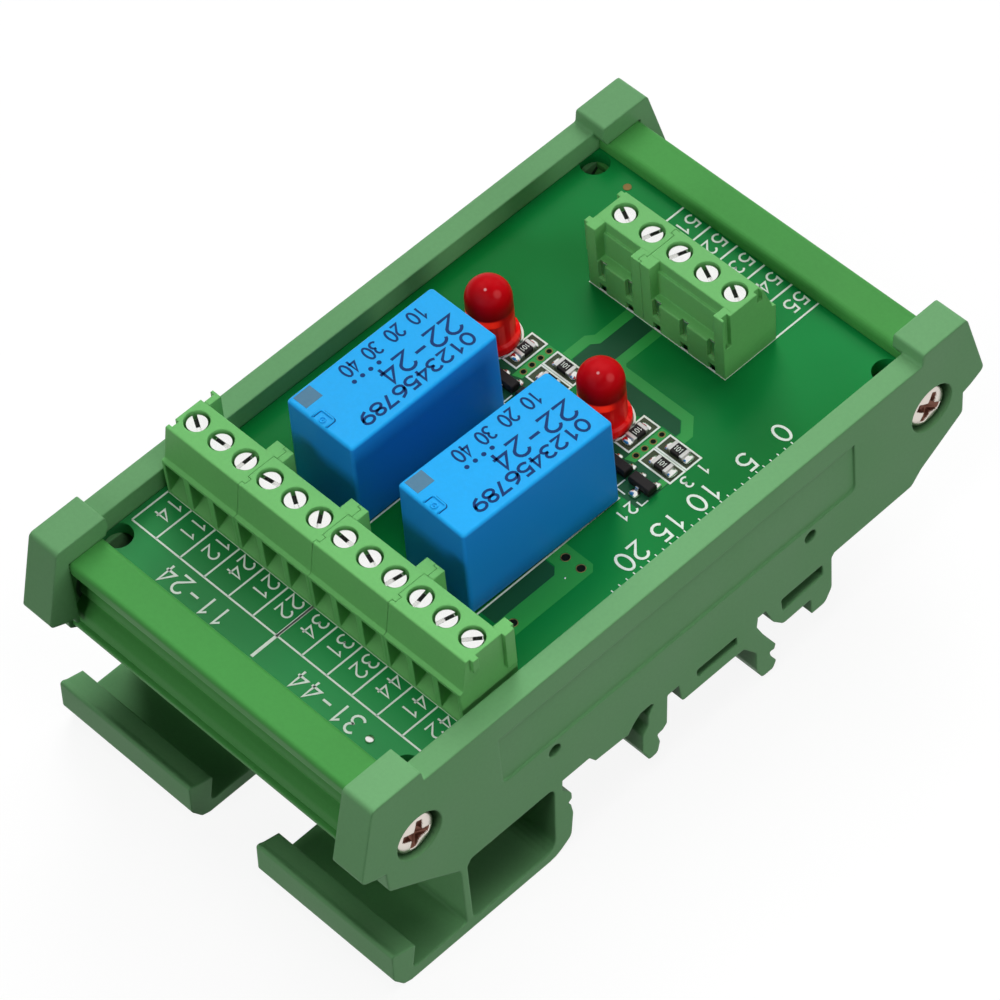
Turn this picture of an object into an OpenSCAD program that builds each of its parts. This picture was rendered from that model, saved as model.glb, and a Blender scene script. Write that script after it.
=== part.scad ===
// Relay module board: circuit board with two relays, two lamps and two terminal strips,
// held in an extruded carrier between two moulded side caps with rail feet.
// X runs along the mounting rail and the terminal strips, Y across the rail, Z up.

/* [Board] */
// length of the board across the carrier
board_len = 72; // [68:0.5:80]
// width of the board between the side caps
board_wid = 45; // [44.5:0.5:60]
// thickness of the board
board_t = 1.6; // [1.2:0.1:1.8]
// height of the board's top face above the underside of the feet
board_z = 25.8; // [25.2:0.1:32]
// diameter of the four corner holes
corner_hole_d = 3.2; // [2.5:0.1:4]
// inset of the corner holes from the board's side edges
corner_inset_x = 2; // [2:0.1:3]
// inset of the corner holes from the board's front and back edges
corner_inset_y = 3; // [2.6:0.1:4]

/* [Carrier] */
// thickness of the carrier's side walls
wall_t = 1.5; // [1.2:0.1:1.8]
// reach of the lip over the board's edge
lip_reach = 1.2; // [0.8:0.1:1.5]
// thickness of the lip
lip_t = 1.6; // [1.2:0.1:2]
// distance from the board's edge to the outer edge of the lip
lip_out = 3.4; // [3:0.1:4]
// depth of the carrier's underside below the board's top face
tray_depth = 9.4; // [9:0.1:11]
// thickness of the carrier's base plate
tray_floor = 1.2; // [0.9:0.1:1.6]
// outer diameter of the screw tubes in the carrier
tube_d = 4.8; // [4.4:0.1:5.2]

/* [Side caps] */
// thickness of the cap plate
cap_t = 2.64; // [2.2:0.02:3.4]
// depth that the board's side edge sits inside the cap
cap_overlap = 0.9; // [0.5:0.1:1.2]
// reach of the end blocks inward from the plate's inner face
block_reach = 1.4; // [1:0.1:2]
// height of the cap's top band above the board
band_h = 2.75; // [2.2:0.05:3.4]
// height of the end blocks above the board
block_h = 4.25; // [3.8:0.05:5.5]
// length of the end blocks beyond the board's end
block_out = 7.05; // [6.5:0.05:8]
// diameter of the screw counterbores
counterbore_d = 5.8; // [5.2:0.05:6.4]
// depth of the screw counterbores
counterbore_depth = 1.9; // [1.4:0.05:2]
// diameter of the small holes through the plate
pilot_d = 1.6; // [1:0.1:2.4]
// depth of the label recess in the outer face
recess_depth = 0.25; // [0.1:0.05:0.5]

/* [Rail foot] */
// width of the mounting rail that the feet take
rail_w = 35; // [34.5:0.1:35.6]
// half of the gap between the two feet
foot_gap_half = 4.9; // [3:0.1:8]
// thickness of the foot's thin strut
strut_t = 0.8; // [0.6:0.05:1.2]
// thickness of the web that joins the foot and the hooks
web_t = 2; // [1.5:0.1:2.4]

/* [Cap screws] */
// diameter of the screw head
cap_head_d = 4.4; // [4:0.1:4.8]
// depth of the head's face below the cap's outer face
cap_head_sunk = 0.6; // [0.3:0.05:0.8]
// diameter of the screw shank
cap_shank_d = 2.5; // [2.2:0.1:3]
// length of the screw shank
cap_shank_len = 9; // [6:0.5:14]

/* [Terminals] */
// pitch of the twelve pole strip
out_pitch = 3.5; // [3.4:0.01:3.7]
// pitch of the five pole strip
in_pitch = 3.81; // [3.6:0.01:4]
// height of the twelve pole strip
out_h = 9.2; // [8.6:0.1:10.5]
// height of the five pole strip
in_h = 8.8; // [8.6:0.1:10.5]
// diameter of the screw wells
well_d = 2.7; // [2.65:0.05:3]
// diameter of the clamp screw heads
clamp_head_d = 2.2; // [2:0.05:2.6]
// depth of the clamp screw heads below the top face
clamp_sunk = 0.3; // [0.2:0.05:1.2]
// width of the thin ribs between the wire entries
entry_rib = 0.8; // [0.5:0.05:0.9]

/* [Relays] */
// length of the relay cover
relay_len = 19.6; // [18:0.1:22]
// width of the relay cover
relay_wid = 9.3; // [8.6:0.1:10.2]
// height of the relay above the board
relay_h = 12.1; // [10:0.1:14]
// turn of the right relay as it was soldered
relay_turn = -1.4; // [-2:0.1:2]
// distance between the two relay circuits
circuit_pitch = 15.8; // [15:0.1:17]

/* [Lamps] */
// diameter of the lamp dome
led_d = 4.9; // [4.6:0.1:5.1]
// diameter of the lamp flange
led_flange_d = 5.8; // [5.4:0.1:6]
// height of the lamp above its seat
led_h = 8.2; // [7:0.1:9.5]

/* [Fits] */
// clearance round the board in its slots
slot_fit = 0.05; // [0.02:0.01:0.12]
// clearance between the carrier and the end blocks
block_fit = 0.05; // [0.02:0.01:0.15]
// clearance between interlocking housings
dovetail_fit = 0.04; // [0.03:0.01:0.12]
// clearance round metal parts inside the housings
metal_fit = 0.05; // [0.02:0.01:0.1]

/* [Hidden] */
$fn = 40;
half_len = board_len / 2;
half_wid = board_wid / 2;
cap_in = half_wid - cap_overlap;
cap_out = cap_in + cap_t;
block_in = cap_in - block_reach;
tray_edge = half_len + lip_out;
slot_top = slot_fit;
slot_low = -board_t - slot_fit;
wall_in = half_len + slot_fit;
wall_out = wall_in + wall_t;
ledge_t = 0.95;
tube_y = half_len - 0.55;
tube_z = -4.86;
foot_z = -board_z;
web_low = -14.7;
arc_step = 24;
pin_len = 2.9;
relay_y = -6.33;
relay_x = -8.12;
led_x = -11.67;
led_y = 9.65;

// Rounded outlines: every corner is [across, up, radius], an arc takes the place of the corner.
function unit(v) = v / norm(v);
function turned(v, a) = [v[0] * cos(a) - v[1] * sin(a), v[0] * sin(a) + v[1] * cos(a)];
function rounded(a, b, c) =
    let (p = [b[0], b[1]],
         u = unit([a[0] - b[0], a[1] - b[1]]),
         w = unit([c[0] - b[0], c[1] - b[1]]),
         half = acos(max(-0.9999, min(0.9999, u * w))) / 2,
         cut = b[2] / tan(half),
         mid = p + unit(u + w) * b[2] / sin(half),
         from = p + u * cut - mid,
         side = u[0] * w[1] - u[1] * w[0] > 0 ? -1 : 1,
         turn = 180 - 2 * half,
         steps = max(1, ceil(turn / arc_step)))
    [for (i = [0:steps]) mid + turned(from, side * turn * i / steps)];
function outline(pts) =
    let (n = len(pts))
    [for (i = [0:n - 1])
        each (pts[i][2] == 0 ? [[pts[i][0], pts[i][1]]]
            : rounded(pts[(i + n - 1) % n], pts[i], pts[(i + 1) % n]))];
function flipped(pts) = [for (i = [len(pts) - 1:-1:0]) [-pts[i][0], pts[i][1], pts[i][2]]];

// Prism with an outline in the YZ plane, from x0 to x1.
module along_x(x0, x1, pts) {
    translate([x0, 0, 0]) rotate([90, 0, 90]) linear_extrude(x1 - x0) polygon(outline(pts));
}
module box(x0, x1, y0, y1, z0, z1) {
    translate([x0, y0, z0]) cube([x1 - x0, y1 - y0, z1 - z0]);
}
module rod_x(x0, x1, y, z, d) {
    translate([x0, y, z]) rotate([0, 90, 0]) cylinder(d = d, h = x1 - x0);
}

// Carrier: half of the outline runs from the base round the bead, the wall and the lip to the slot.
bead_r = 2.7;
bead_z = 1.1 - tray_depth;
bead_y = wall_out - 1.15;
tray_half = [
    [tray_edge, -tray_depth, 0.3],
    [tray_edge, 0.8 - tray_depth, 0.2],
    [bead_y + bead_r - 0.25, 0.95 - tray_depth, 0],
    [bead_y + bead_r - 0.05, bead_z + 0.1, 0.2],
    [bead_y + bead_r * cos(28), bead_z + bead_r * sin(28), 1.2],
    [bead_y + bead_r * cos(50), bead_z + bead_r * sin(50), 1.2],
    [wall_out, bead_z + bead_r * sin(68), 0.2],
    [wall_out, slot_top - 0.25, 0.3],
    [tray_edge, slot_top - 0.25, 0.5],
    [tray_edge, slot_top + lip_t, 0.5],
    [half_len - lip_reach, slot_top + lip_t, 0.7],
    [half_len - lip_reach, slot_top, 0],
    [wall_in, slot_top, 0],
    [wall_in, slot_low, 0],
    [half_len - lip_reach - 0.6, slot_low, 0.2],
    [half_len - lip_reach - 0.6, slot_low - ledge_t, 0.2],
    [wall_in, slot_low - ledge_t, 0],
    [wall_in, tray_floor - tray_depth, 0.4]
];

module carrier_tray() {
    color("green") translate([0, 0, board_z]) difference() {
        union() {
            along_x(-cap_in, cap_in, concat(tray_half, flipped(tray_half)));
            for (s = [-1, 1]) rod_x(-cap_in, cap_in, s * tube_y, tube_z, tube_d);
        }
        for (s = [-1, 1]) rod_x(-cap_in - 1, cap_in + 1, s * tube_y, tube_z, cap_shank_d);
    }
}

// Side cap: plate with two end blocks, then the foot on the -Y side and three hooks.
plate_end = [
    [half_len - 1.9, band_h, 0.3],
    [half_len - 1.7, block_h, 0.3],
    [half_len + 4.6, block_h, 0.6],
    [half_len + block_out, -5.2, 0.7],
    [half_len + 5.1, -6.15, 0.2],
    [half_len + 4.0, -6.5, 0.1],
    [half_len + 3.9, -9.4, 0.6],
    [half_len - 2.2, -13.1, 0.8],
    [half_len - 3.6, web_low + 0.15, 0.8]
];
foot_column = -rail_w / 2 + 0.2;
strut_y = -31;
plate_pts = concat(
    [for (i = [len(plate_end) - 1:-1:0]) plate_end[i]],
    [for (i = [0:6]) [-plate_end[i][0], plate_end[i][1], plate_end[i][2]]],
    [[-34.9, -12.7, 0.8], [strut_y - 0.2, -15.3, 0.3], [strut_y, web_low - 1.2, 0],
     [foot_column, web_low - 1.2, 0.2], [foot_column + 0.1, web_low, 0],
     [-13.5, web_low, 0.3], [-12.7, -15.9, 0.2], [-8.7, -16.1, 0.2],
     [-8.3, -16.3, 0.2], [-7.5, -15.3, 0.2], [-6.4, web_low + 0.3, 0.2], [-4.9, web_low + 0.3, 0.2],
     [-4.2, -15.2, 0]]);
foot_pts = [
    [strut_y, web_low + web_t, 0], [strut_y, -24.3, 0.3], [-38.4, -24.3, 0.6], [-37.7, -20.9, 0.2],
    [-39.8, -20.3, 0.3], [-40.7, -19.8, 0.3], [-40.9, -23.7, 0.8], [-39.7, foot_z + 0.35, 0.6],
    [-38.7, foot_z, 0.4], [-18.9, foot_z, 3], [-16.7, -24.4, 1.2], [-16.2, -21, 0.6],
    [-16.4, -19.5, 0.2], [-16.8, -19, 0.2], [-16.2, -18.6, 0.2], [-16.2, -17.7, 0.3],
    [foot_column, -16.2, 0.3], [foot_column + 0.1, web_low + web_t, 0]
];
window_pts = [
    [strut_y + strut_t, -15.6, 0.4], [-29.6, web_low - 0.1, 0.5], [-18.3, web_low - 0.1, 0.8],
    [-18.9, -24.5, 1.6], [strut_y + strut_t, -24.5, 0.8]
];
hook_b = [
    [-2, web_low + 0.2, 0], [-2.7, -15.3, 0.2], [-3, -19.4, 0.3], [-3.6, -19.9, 0.2], [-4.4, -20, 0.2],
    [-4.1, -21.4, 0.3], [-4.5, -22.8, 0.5], [-5.7, -22.9, 0.5], [-6.5, -20.8, 0.5], [-6.3, -18.3, 0.5],
    [-5.5, -17.4, 0.4], [-5.4, -15.9, 0.4], [-4.4, web_low + 0.2, 0]
];
hook_c = [
    [10.1, -15.2, 0], [9.9, -16.3, 0.5], [11.1, -19.1, 0.6], [12.4, -21.4, 0.2], [12.2, -22.1, 0.2],
    [11.5, -21.9, 0.2], [11.7, -22.9, 0.2], [12.4, -24.1, 0.4], [11.9, -25, 0.4], [10.3, -25, 0.6],
    [9.6, -23.1, 0.8], [9.7, -20.4, 0.6], [8, -18.1, 0.5], [6.4, -18, 0.3], [-0.8, -18, 0.5],
    [-1.1, -15, 0.2], [-1.6, web_low + 0.2, 0], [10.1, web_low + 0.2, 0]
];
hook_d = [
    [21.4, web_low + 0.2, 0], [20.7, -15.2, 0.4], [20.6, -19.9, 1], [19.6, -21.5, 0.8],
    [rail_w / 2 + 0.1, -21.5, 0.2], [rail_w / 2 + 0.1, -19.1, 0.3], [13.6, -19.2, 0.8],
    [12.2, -17.6, 0.6], [11.3, -15.2, 0.3], [11.1, web_low + 0.2, 0]
];
slot_1 = [[1.4, -15.1, 0.3], [1.5, -16.4, 0.5], [7.1, -16.4, 0.3], [7.1, -15.1, 0.3]];
slot_2 = [[13.4, -15.2, 0.3], [13.6, -17.2, 0.3], [19.4, -16.8, 0.3], [19.4, -15.1, 0.4]];
recess_pts = [[24.3, -0.6, 0], [24.3, -7.6, 0.7], [-24.6, -7.6, 0.7], [-24.6, -0.6, 0]];

module side_cap() {
    difference() {
        union() {
            along_x(cap_in, cap_out, plate_pts);
            for (m = [0, 1]) mirror([0, m, 0])
                along_x(block_in, cap_in, [for (i = [0:6]) plate_end[i]]);
            along_x(foot_gap_half, cap_out, foot_pts);
            along_x(foot_gap_half, cap_out, hook_b);
            along_x(foot_gap_half, cap_out, hook_c);
            along_x(foot_gap_half, cap_out, hook_d);
            box(foot_gap_half, cap_in, strut_y, 21.2, web_low, web_low + web_t);
            for (y = [-30.2, -0.7, 20.2])
                box(foot_gap_half, cap_in, y - 0.8, y + 0.8, web_low + web_t, -tray_depth);
        }
        box(block_in - 1, cap_in, -tray_edge - block_fit, tray_edge + block_fit,
            -tray_depth - 0.8, slot_top + lip_t + block_fit);
        box(cap_in - 1, half_wid + slot_fit, -half_len - slot_fit, half_len + slot_fit,
            slot_low, slot_top);
        along_x(0, cap_out + 1, window_pts);
        along_x(0, cap_out + 1, slot_1);
        along_x(0, cap_out + 1, slot_2);
        along_x(cap_out - recess_depth, cap_out + 1, recess_pts);
        for (s = [-1, 1]) {
            rod_x(cap_out - counterbore_depth, cap_out + 1, s * tube_y, tube_z, counterbore_d);
            rod_x(cap_in - 1, cap_out, s * tube_y, tube_z, cap_shank_d + 2 * block_fit);
            rod_x(cap_in - 1, cap_out + 1, s * 17.8, -9.05, pilot_d);
        }
    }
}
module side_cap_right() {
    color("limegreen") translate([0, 0, board_z]) side_cap();
}
module side_cap_left() {
    color("limegreen") translate([0, 0, board_z]) mirror([1, 0, 0]) side_cap();
}

// Cap screws: pan head with a cross recess, shank in the carrier's tube.
module cap_screw() {
    seat = cap_out - counterbore_depth;
    face = cap_out - cap_head_sunk;
    difference() {
        union() {
            rod_x(seat, face - 0.3, 0, 0, cap_head_d);
            translate([face - 0.3, 0, 0]) rotate([0, 90, 0])
                cylinder(d1 = cap_head_d, d2 = cap_head_d - 1, h = 0.3);
            rod_x(seat - cap_shank_len, seat, 0, 0, cap_shank_d);
        }
        for (a = [30, 120]) rotate([a, 0, 0])
            box(face - 0.8, face + 1, -cap_head_d * 0.33, cap_head_d * 0.33, -0.4, 0.4);
    }
}
module cap_screws() {
    color("silver") translate([0, 0, board_z])
        for (m = [0, 1], s = [-1, 1]) mirror([m, 0, 0]) translate([0, s * tube_y, tube_z]) cap_screw();
}

// Terminal strips: places of the poles, then one housing module for both pitches.
out_n = 12;
out_back = 15.8 - half_len;
in_back = half_len - 13.15;
in_mid = -0.03;
term_screw_y = -2.2;
pin_w = 0.9;
pin_t = 0.5;
pin_y = 0.8;
pin_top = 3.9;
window_w = 1;
window_low = 1.75;
sill_z = 4.15;
nose_z = 5.1;
base_notch_h = 0.95;
entry_y = -3.5;
out_top_y = 4.75;
in_top_y = 4.25;
step_reach = 1.5;
cavity_y = [-3.8, -0.6];
cavity_z = [0.9, 5.6];
cage_h = 4;
// interlocking ribs of each strip: place from the back, width, length down from the top
out_ribs = [[-0.05, 1.2, 5.05], [-4.25, 0.75, 1.65]];
in_ribs = [[0.45, 0.75, 4.4], [-4.05, 0.65, 1.3]];
rib_reach = 0.45;
cage_wall = 0.4;
clamp_head_h = 1.4;
function out_x(i) = (i - (out_n - 1) / 2) * out_pitch + 0.08;
function in_x(i) = (i - 2) * in_pitch + in_mid;

module housing(n, p, h, top_y, ribs) {
    len_x = n * p;
    column = 0.34 * p;
    pin_face = pin_y + pin_t / 2;
    difference() {
        union() {
            along_x(dovetail_fit / 2, len_x - dovetail_fit / 2, [
                [step_reach, 0, 0], [step_reach, sill_z, 0.15], [0.3, sill_z, 0],
                [0.3, h - 1.4, 0.1], [0, h - 1.4, 0], [0, h, 0.1], [-top_y, h, 0.15],
                [-5.45, nose_z + 0.15, 0], [-5.9, nose_z, 0.08], [-5.75, 0, 0]]);
            for (x = [dovetail_fit / 2, len_x - column])
                box(x, x + column - dovetail_fit / 2, 0, step_reach, 0, h);
            for (k = ribs) box(len_x - 1, len_x + rib_reach, k[0], k[0] + k[1], h - k[2], h);
        }
        for (k = ribs)
            box(-1, rib_reach + dovetail_fit, k[0] - dovetail_fit, k[0] + k[1] + dovetail_fit,
                h - k[2] - dovetail_fit, h + 1);
        for (i = [0:n - 1]) translate([(i + 0.5) * p, 0, 0]) {
            along_x(-(p - entry_rib) / 2, (p - entry_rib) / 2, [
                [-7, nose_z - 0.3, 0], [entry_y, 4.5, 0], [entry_y, 1.9, 0],
                [-5.65, 0.5, 0], [-7, 0.5, 0]]);
            box(-1.25, 1.25, cavity_y[0], cavity_y[1], cavity_z[0], cavity_z[1]);
            box(-window_w / 2, window_w / 2, cavity_y[1] - 0.1, pin_face, cavity_z[0], pin_top + metal_fit);
            box(-window_w / 2, window_w / 2, pin_face - 0.1, step_reach + 1, window_low, pin_top + metal_fit);
            box(-window_w / 2, window_w / 2, pin_face, step_reach + 1, window_low, sill_z + 0.5);
            box(-window_w / 2, window_w / 2, step_reach - 0.5, step_reach + 1, -1, base_notch_h);
            box(-pin_w / 2, pin_w / 2, pin_y - pin_t / 2, pin_face, -1, cavity_z[0] + 0.1);
            translate([0, term_screw_y, h - clamp_sunk - clamp_head_h]) cylinder(d = well_d, h = h);
            translate([0, term_screw_y, cavity_z[1] - 0.5]) cylinder(d = 1.7, h = h);
        }
    }
}
module clamp_screw(h, turn) {
    top = h - clamp_sunk;
    shank_z = cavity_z[0] + cage_wall + 1.8;
    translate([0, term_screw_y, 0]) difference() {
        union() {
            translate([0, 0, top - clamp_head_h]) cylinder(d = clamp_head_d, h = clamp_head_h);
            translate([0, 0, shank_z]) cylinder(d = 1.6, h = top - 1 - shank_z);
        }
        rotate([0, 0, turn]) box(-2, 2, -0.22, 0.22, top - 0.6, top + 1);
    }
}
module cage() {
    z0 = cavity_z[0] + cage_wall;
    difference() {
        box(-1.2, 1.2, cavity_y[0] + metal_fit, cavity_y[1] - metal_fit, z0, z0 + cage_h);
        box(-0.85, 0.85, -5, 1, z0 + cage_wall, z0 + cage_h - cage_wall * 2);
        translate([0, term_screw_y, z0 + 1]) cylinder(d = 1.6, h = cage_h);
    }
}
module pin() {
    z0 = cavity_z[0];
    box(-pin_w / 2, pin_w / 2, pin_y - pin_t / 2, pin_y + pin_t / 2, -pin_len, pin_top);
    box(-1, 1, cavity_y[0] + metal_fit, cavity_y[1] - metal_fit, z0, z0 + cage_wall);
    box(-pin_w / 2, pin_w / 2, cavity_y[1] - 0.2, pin_y, z0, z0 + cage_wall);
}
module out_place() {
    translate([out_x(0) - out_pitch / 2, out_back, board_z]) children();
}
module in_place() {
    translate([in_x(4) + in_pitch / 2, in_back, board_z]) rotate([0, 0, 180]) children();
}
module output_housing(k) {
    color("lightgreen") out_place() translate([k * 3 * out_pitch, 0, 0])
        housing(3, out_pitch, out_h, out_top_y, out_ribs);
}
module output_housing_1() { output_housing(0); }
module output_housing_2() { output_housing(1); }
module output_housing_3() { output_housing(2); }
module output_housing_4() { output_housing(3); }
module output_screws() {
    turns = [-29, 3, 90, 9, -30, -53, -2, -18, 80, 100, 75, 50];
    color("gainsboro") out_place() for (i = [0:out_n - 1])
        translate([(i + 0.5) * out_pitch, 0, 0]) clamp_screw(out_h, turns[i]);
}
module output_cages() {
    color("silver") out_place() for (i = [0:out_n - 1]) translate([(i + 0.5) * out_pitch, 0, 0]) cage();
}
module output_pins() {
    color("gold") out_place() for (i = [0:out_n - 1]) translate([(i + 0.5) * out_pitch, 0, 0]) pin();
}
module input_housing_three_pole() {
    color("lightgreen") in_place() housing(3, in_pitch, in_h, in_top_y, in_ribs);
}
module input_housing_two_pole() {
    color("lightgreen") in_place() translate([3 * in_pitch, 0, 0])
        housing(2, in_pitch, in_h, in_top_y, in_ribs);
}
module input_screws() {
    turns = [-29, -24, 70, 72, -25];
    color("gainsboro") in_place() for (i = [0:4])
        translate([(i + 0.5) * in_pitch, 0, 0]) clamp_screw(in_h, turns[i]);
}
module input_cages() {
    color("silver") in_place() for (i = [0:4]) translate([(i + 0.5) * in_pitch, 0, 0]) cage();
}
module input_pins() {
    color("gold") in_place() for (i = [0:4]) translate([(i + 0.5) * in_pitch, 0, 0]) pin();
}

// Relays: cover with slight draft, base plate below it, eight pins each.
relay_stand = 0.4;
relay_pin_y = [-7.62, -2.54, 2.54, 7.62];
relay_pin_row = 3.81;
relay_pin_d = 0.6;
module relay_place(k) {
    translate([relay_x + k * (circuit_pitch - 0.07), relay_y, board_z])
        rotate([0, 0, k * relay_turn]) children();
}
module slab(wid, len, r, z, t) {
    translate([0, 0, z]) linear_extrude(t) polygon(outline([
        [wid / 2, -len / 2, r], [wid / 2, len / 2, r], [-wid / 2, len / 2, r], [-wid / 2, -len / 2, r]]));
}
module relay_cover() {
    hull() {
        slab(relay_wid + 0.2, relay_len + 0.2, 0.4, relay_stand, 0.1);
        slab(relay_wid, relay_len, 0.4, relay_h - 0.5, 0.1);
        slab(relay_wid - 0.5, relay_len - 0.5, 0.3, relay_h - 0.1, 0.1);
    }
}
module relay_base() {
    difference() {
        slab(relay_wid - 0.6, relay_len - 0.6, 0.3, 0, relay_stand);
        for (s = [-1, 1], y = relay_pin_y) translate([s * relay_pin_row, y, -1])
            cylinder(d = relay_pin_d, h = 2, $fn = 20);
    }
}
module relay_cover_left() { color("deepskyblue") relay_place(0) relay_cover(); }
module relay_cover_right() { color("deepskyblue") relay_place(1) relay_cover(); }
module relay_base_left() { color("navy") relay_place(0) relay_base(); }
module relay_base_right() { color("navy") relay_place(1) relay_base(); }
module relay_pins() {
    color("silver") for (k = [0, 1]) relay_place(k) for (s = [-1, 1], y = relay_pin_y)
        translate([s * relay_pin_row, y, -pin_len])
            cylinder(d = relay_pin_d, h = pin_len + relay_stand, $fn = 20);
}

// Lamps: flange, cylinder and dome, standing on the board, each on two wires.
led_lead = 0.6;
led_lead_half = 1.27;
module led_place(k) {
    translate([led_x + k * circuit_pitch, led_y, board_z]) children();
}
module led_lens() {
    r = led_d / 2;
    rotate_extrude() polygon(concat(
        [[0, 0], [led_flange_d / 2, 0], [led_flange_d / 2, 1], [r, 1.3]],
        [for (a = [0:10:90]) [r * cos(a), led_h - r + r * sin(a)]]));
}
module led_lens_left() { color("red") led_place(0) led_lens(); }
module led_lens_right() { color("red") led_place(1) led_lens(); }
module led_leads() {
    color("silver") for (k = [0, 1], s = [-1, 1]) led_place(k) translate([0, s * led_lead_half, -pin_len])
        cylinder(d = led_lead, h = pin_len, $fn = 20);
}

// Chip parts of one circuit, placed from the next lamp: resistors are [x, y, turn].
chip_places = [[3.8, 0.85, 90], [8.47, 1.95, 0], [8.53, -0.4, 0]];
body_places = [[8.92, -3.55], [5.92, -3.55]];
chip_len = 2;
chip_wid = 1.25;
chip_h = 0.55;
chip_end = 0.4;
module chips() {
    for (k = [0, 1], c = chip_places) led_place(k) translate([c[0], c[1], 0]) rotate([0, 0, c[2]]) children();
}
module bodies() {
    for (k = [0, 1], c = body_places) led_place(k) translate([c[0], c[1], 0]) children();
}
module chip_resistors() {
    color("black") chips()
        box(chip_end - chip_len / 2, chip_len / 2 - chip_end, -chip_wid / 2, chip_wid / 2, 0, chip_h);
}
module chip_resistor_ends() {
    color("silver") chips() for (s = [0, 1]) mirror([s, 0, 0])
        box(chip_len / 2 - chip_end, chip_len / 2, -chip_wid / 2, chip_wid / 2, 0, chip_h);
}
body_len = 2.9;
body_wid = 1.3;
body_h = 1.1;
body_chamfer = 0.3;
lead_foot = 0.15;
lead_w = 0.4;
lead_reach = 0.6;
lead_step = 0.95;
module transistor_bodies() {
    color("dimgray") bodies() difference() {
        box(-body_len / 2, body_len / 2, -body_wid / 2, body_wid / 2, lead_foot, body_h);
        for (s = [-1, 1]) translate([0, s * body_wid / 2, body_h]) rotate([45, 0, 0])
            box(-body_len, body_len, -body_chamfer / 2, body_chamfer / 2,
                -body_chamfer / 2, body_chamfer / 2);
    }
}
module transistor_lead() {
    box(-lead_w / 2, lead_w / 2, body_wid / 2, body_wid / 2 + 0.2, 0, body_h * 0.6);
    box(-lead_w / 2, lead_w / 2, body_wid / 2, body_wid / 2 + lead_reach, 0, lead_foot);
}
module transistor_leads() {
    color("silver") bodies() {
        for (x = [-lead_step, lead_step]) translate([x, 0, 0]) transistor_lead();
        mirror([0, 1, 0]) transistor_lead();
    }
}

// Board with its holes, and the solder under it.
drills = [[13.64, -5.13], [15.7, -5.06], [15.58, -14.17]];
via_d = 0.5;
via_x = 5.62;
via_y = -1.15;
via_pitch = 1.2;
drill_d = 0.9;
term_hole_d = 1.15;
module pin_places_terminal() {
    out_place() for (i = [0:out_n - 1]) translate([(i + 0.5) * out_pitch, pin_y, 0]) children();
    in_place() for (i = [0:4]) translate([(i + 0.5) * in_pitch, pin_y, 0]) children();
}
module circuit_board() {
    color("darkgreen") difference() {
        translate([0, 0, board_z]) box(-half_wid, half_wid, -half_len, half_len, -board_t, 0);
        for (sx = [-1, 1], sy = [-1, 1])
            translate([sx * (half_wid - corner_inset_x), sy * (half_len - corner_inset_y), 0])
                cylinder(d = corner_hole_d, h = board_z * 2);
        pin_places_terminal() translate([0, 0, -3]) cylinder(d = term_hole_d, h = 6, $fn = 20);
        for (k = [0, 1]) {
            relay_place(k) for (s = [-1, 1], y = relay_pin_y)
                translate([s * relay_pin_row, y, -3]) cylinder(d = relay_pin_d, h = 6, $fn = 20);
            led_place(k) for (s = [-1, 1])
                translate([0, s * led_lead_half, -3]) cylinder(d = led_lead, h = 6, $fn = 20);
            for (i = [0:3]) led_place(k) translate([via_x, via_y + i * via_pitch, -3])
                cylinder(d = via_d, h = 6, $fn = 16);
        }
        for (d = drills) translate([d[0], d[1], board_z - 3]) cylinder(d = drill_d, h = 6, $fn = 20);
    }
}
module fillet(d) {
    translate([0, 0, -board_t - 0.9]) cylinder(d1 = d * 0.5, d2 = d, h = 0.9, $fn = 20);
}
module solder_joints() {
    color("lightgray") {
        pin_places_terminal() difference() {
            fillet(2);
            box(-pin_w / 2, pin_w / 2, -pin_t / 2, pin_t / 2, -4, 0);
        }
        for (k = [0, 1]) {
            relay_place(k) for (s = [-1, 1], y = relay_pin_y) translate([s * relay_pin_row, y, 0])
                difference() {
                    fillet(1.7);
                    translate([0, 0, -4]) cylinder(d = relay_pin_d, h = 4, $fn = 20);
                }
            led_place(k) for (s = [-1, 1]) translate([0, s * led_lead_half, 0])
                difference() {
                    fillet(1.7);
                    translate([0, 0, -4]) cylinder(d = led_lead, h = 4, $fn = 20);
                }
        }
    }
}

carrier_tray();
side_cap_left();
side_cap_right();
cap_screws();
circuit_board();
output_housing_1();
output_housing_2();
output_housing_3();
output_housing_4();
output_screws();
output_cages();
output_pins();
input_housing_two_pole();
input_housing_three_pole();
input_screws();
input_cages();
input_pins();
relay_cover_left();
relay_cover_right();
relay_base_left();
relay_base_right();
relay_pins();
led_lens_left();
led_lens_right();
led_leads();
chip_resistors();
chip_resistor_ends();
transistor_bodies();
transistor_leads();
solder_joints();
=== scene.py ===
import bpy
import numpy as np
from mathutils import Matrix, Vector


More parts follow.
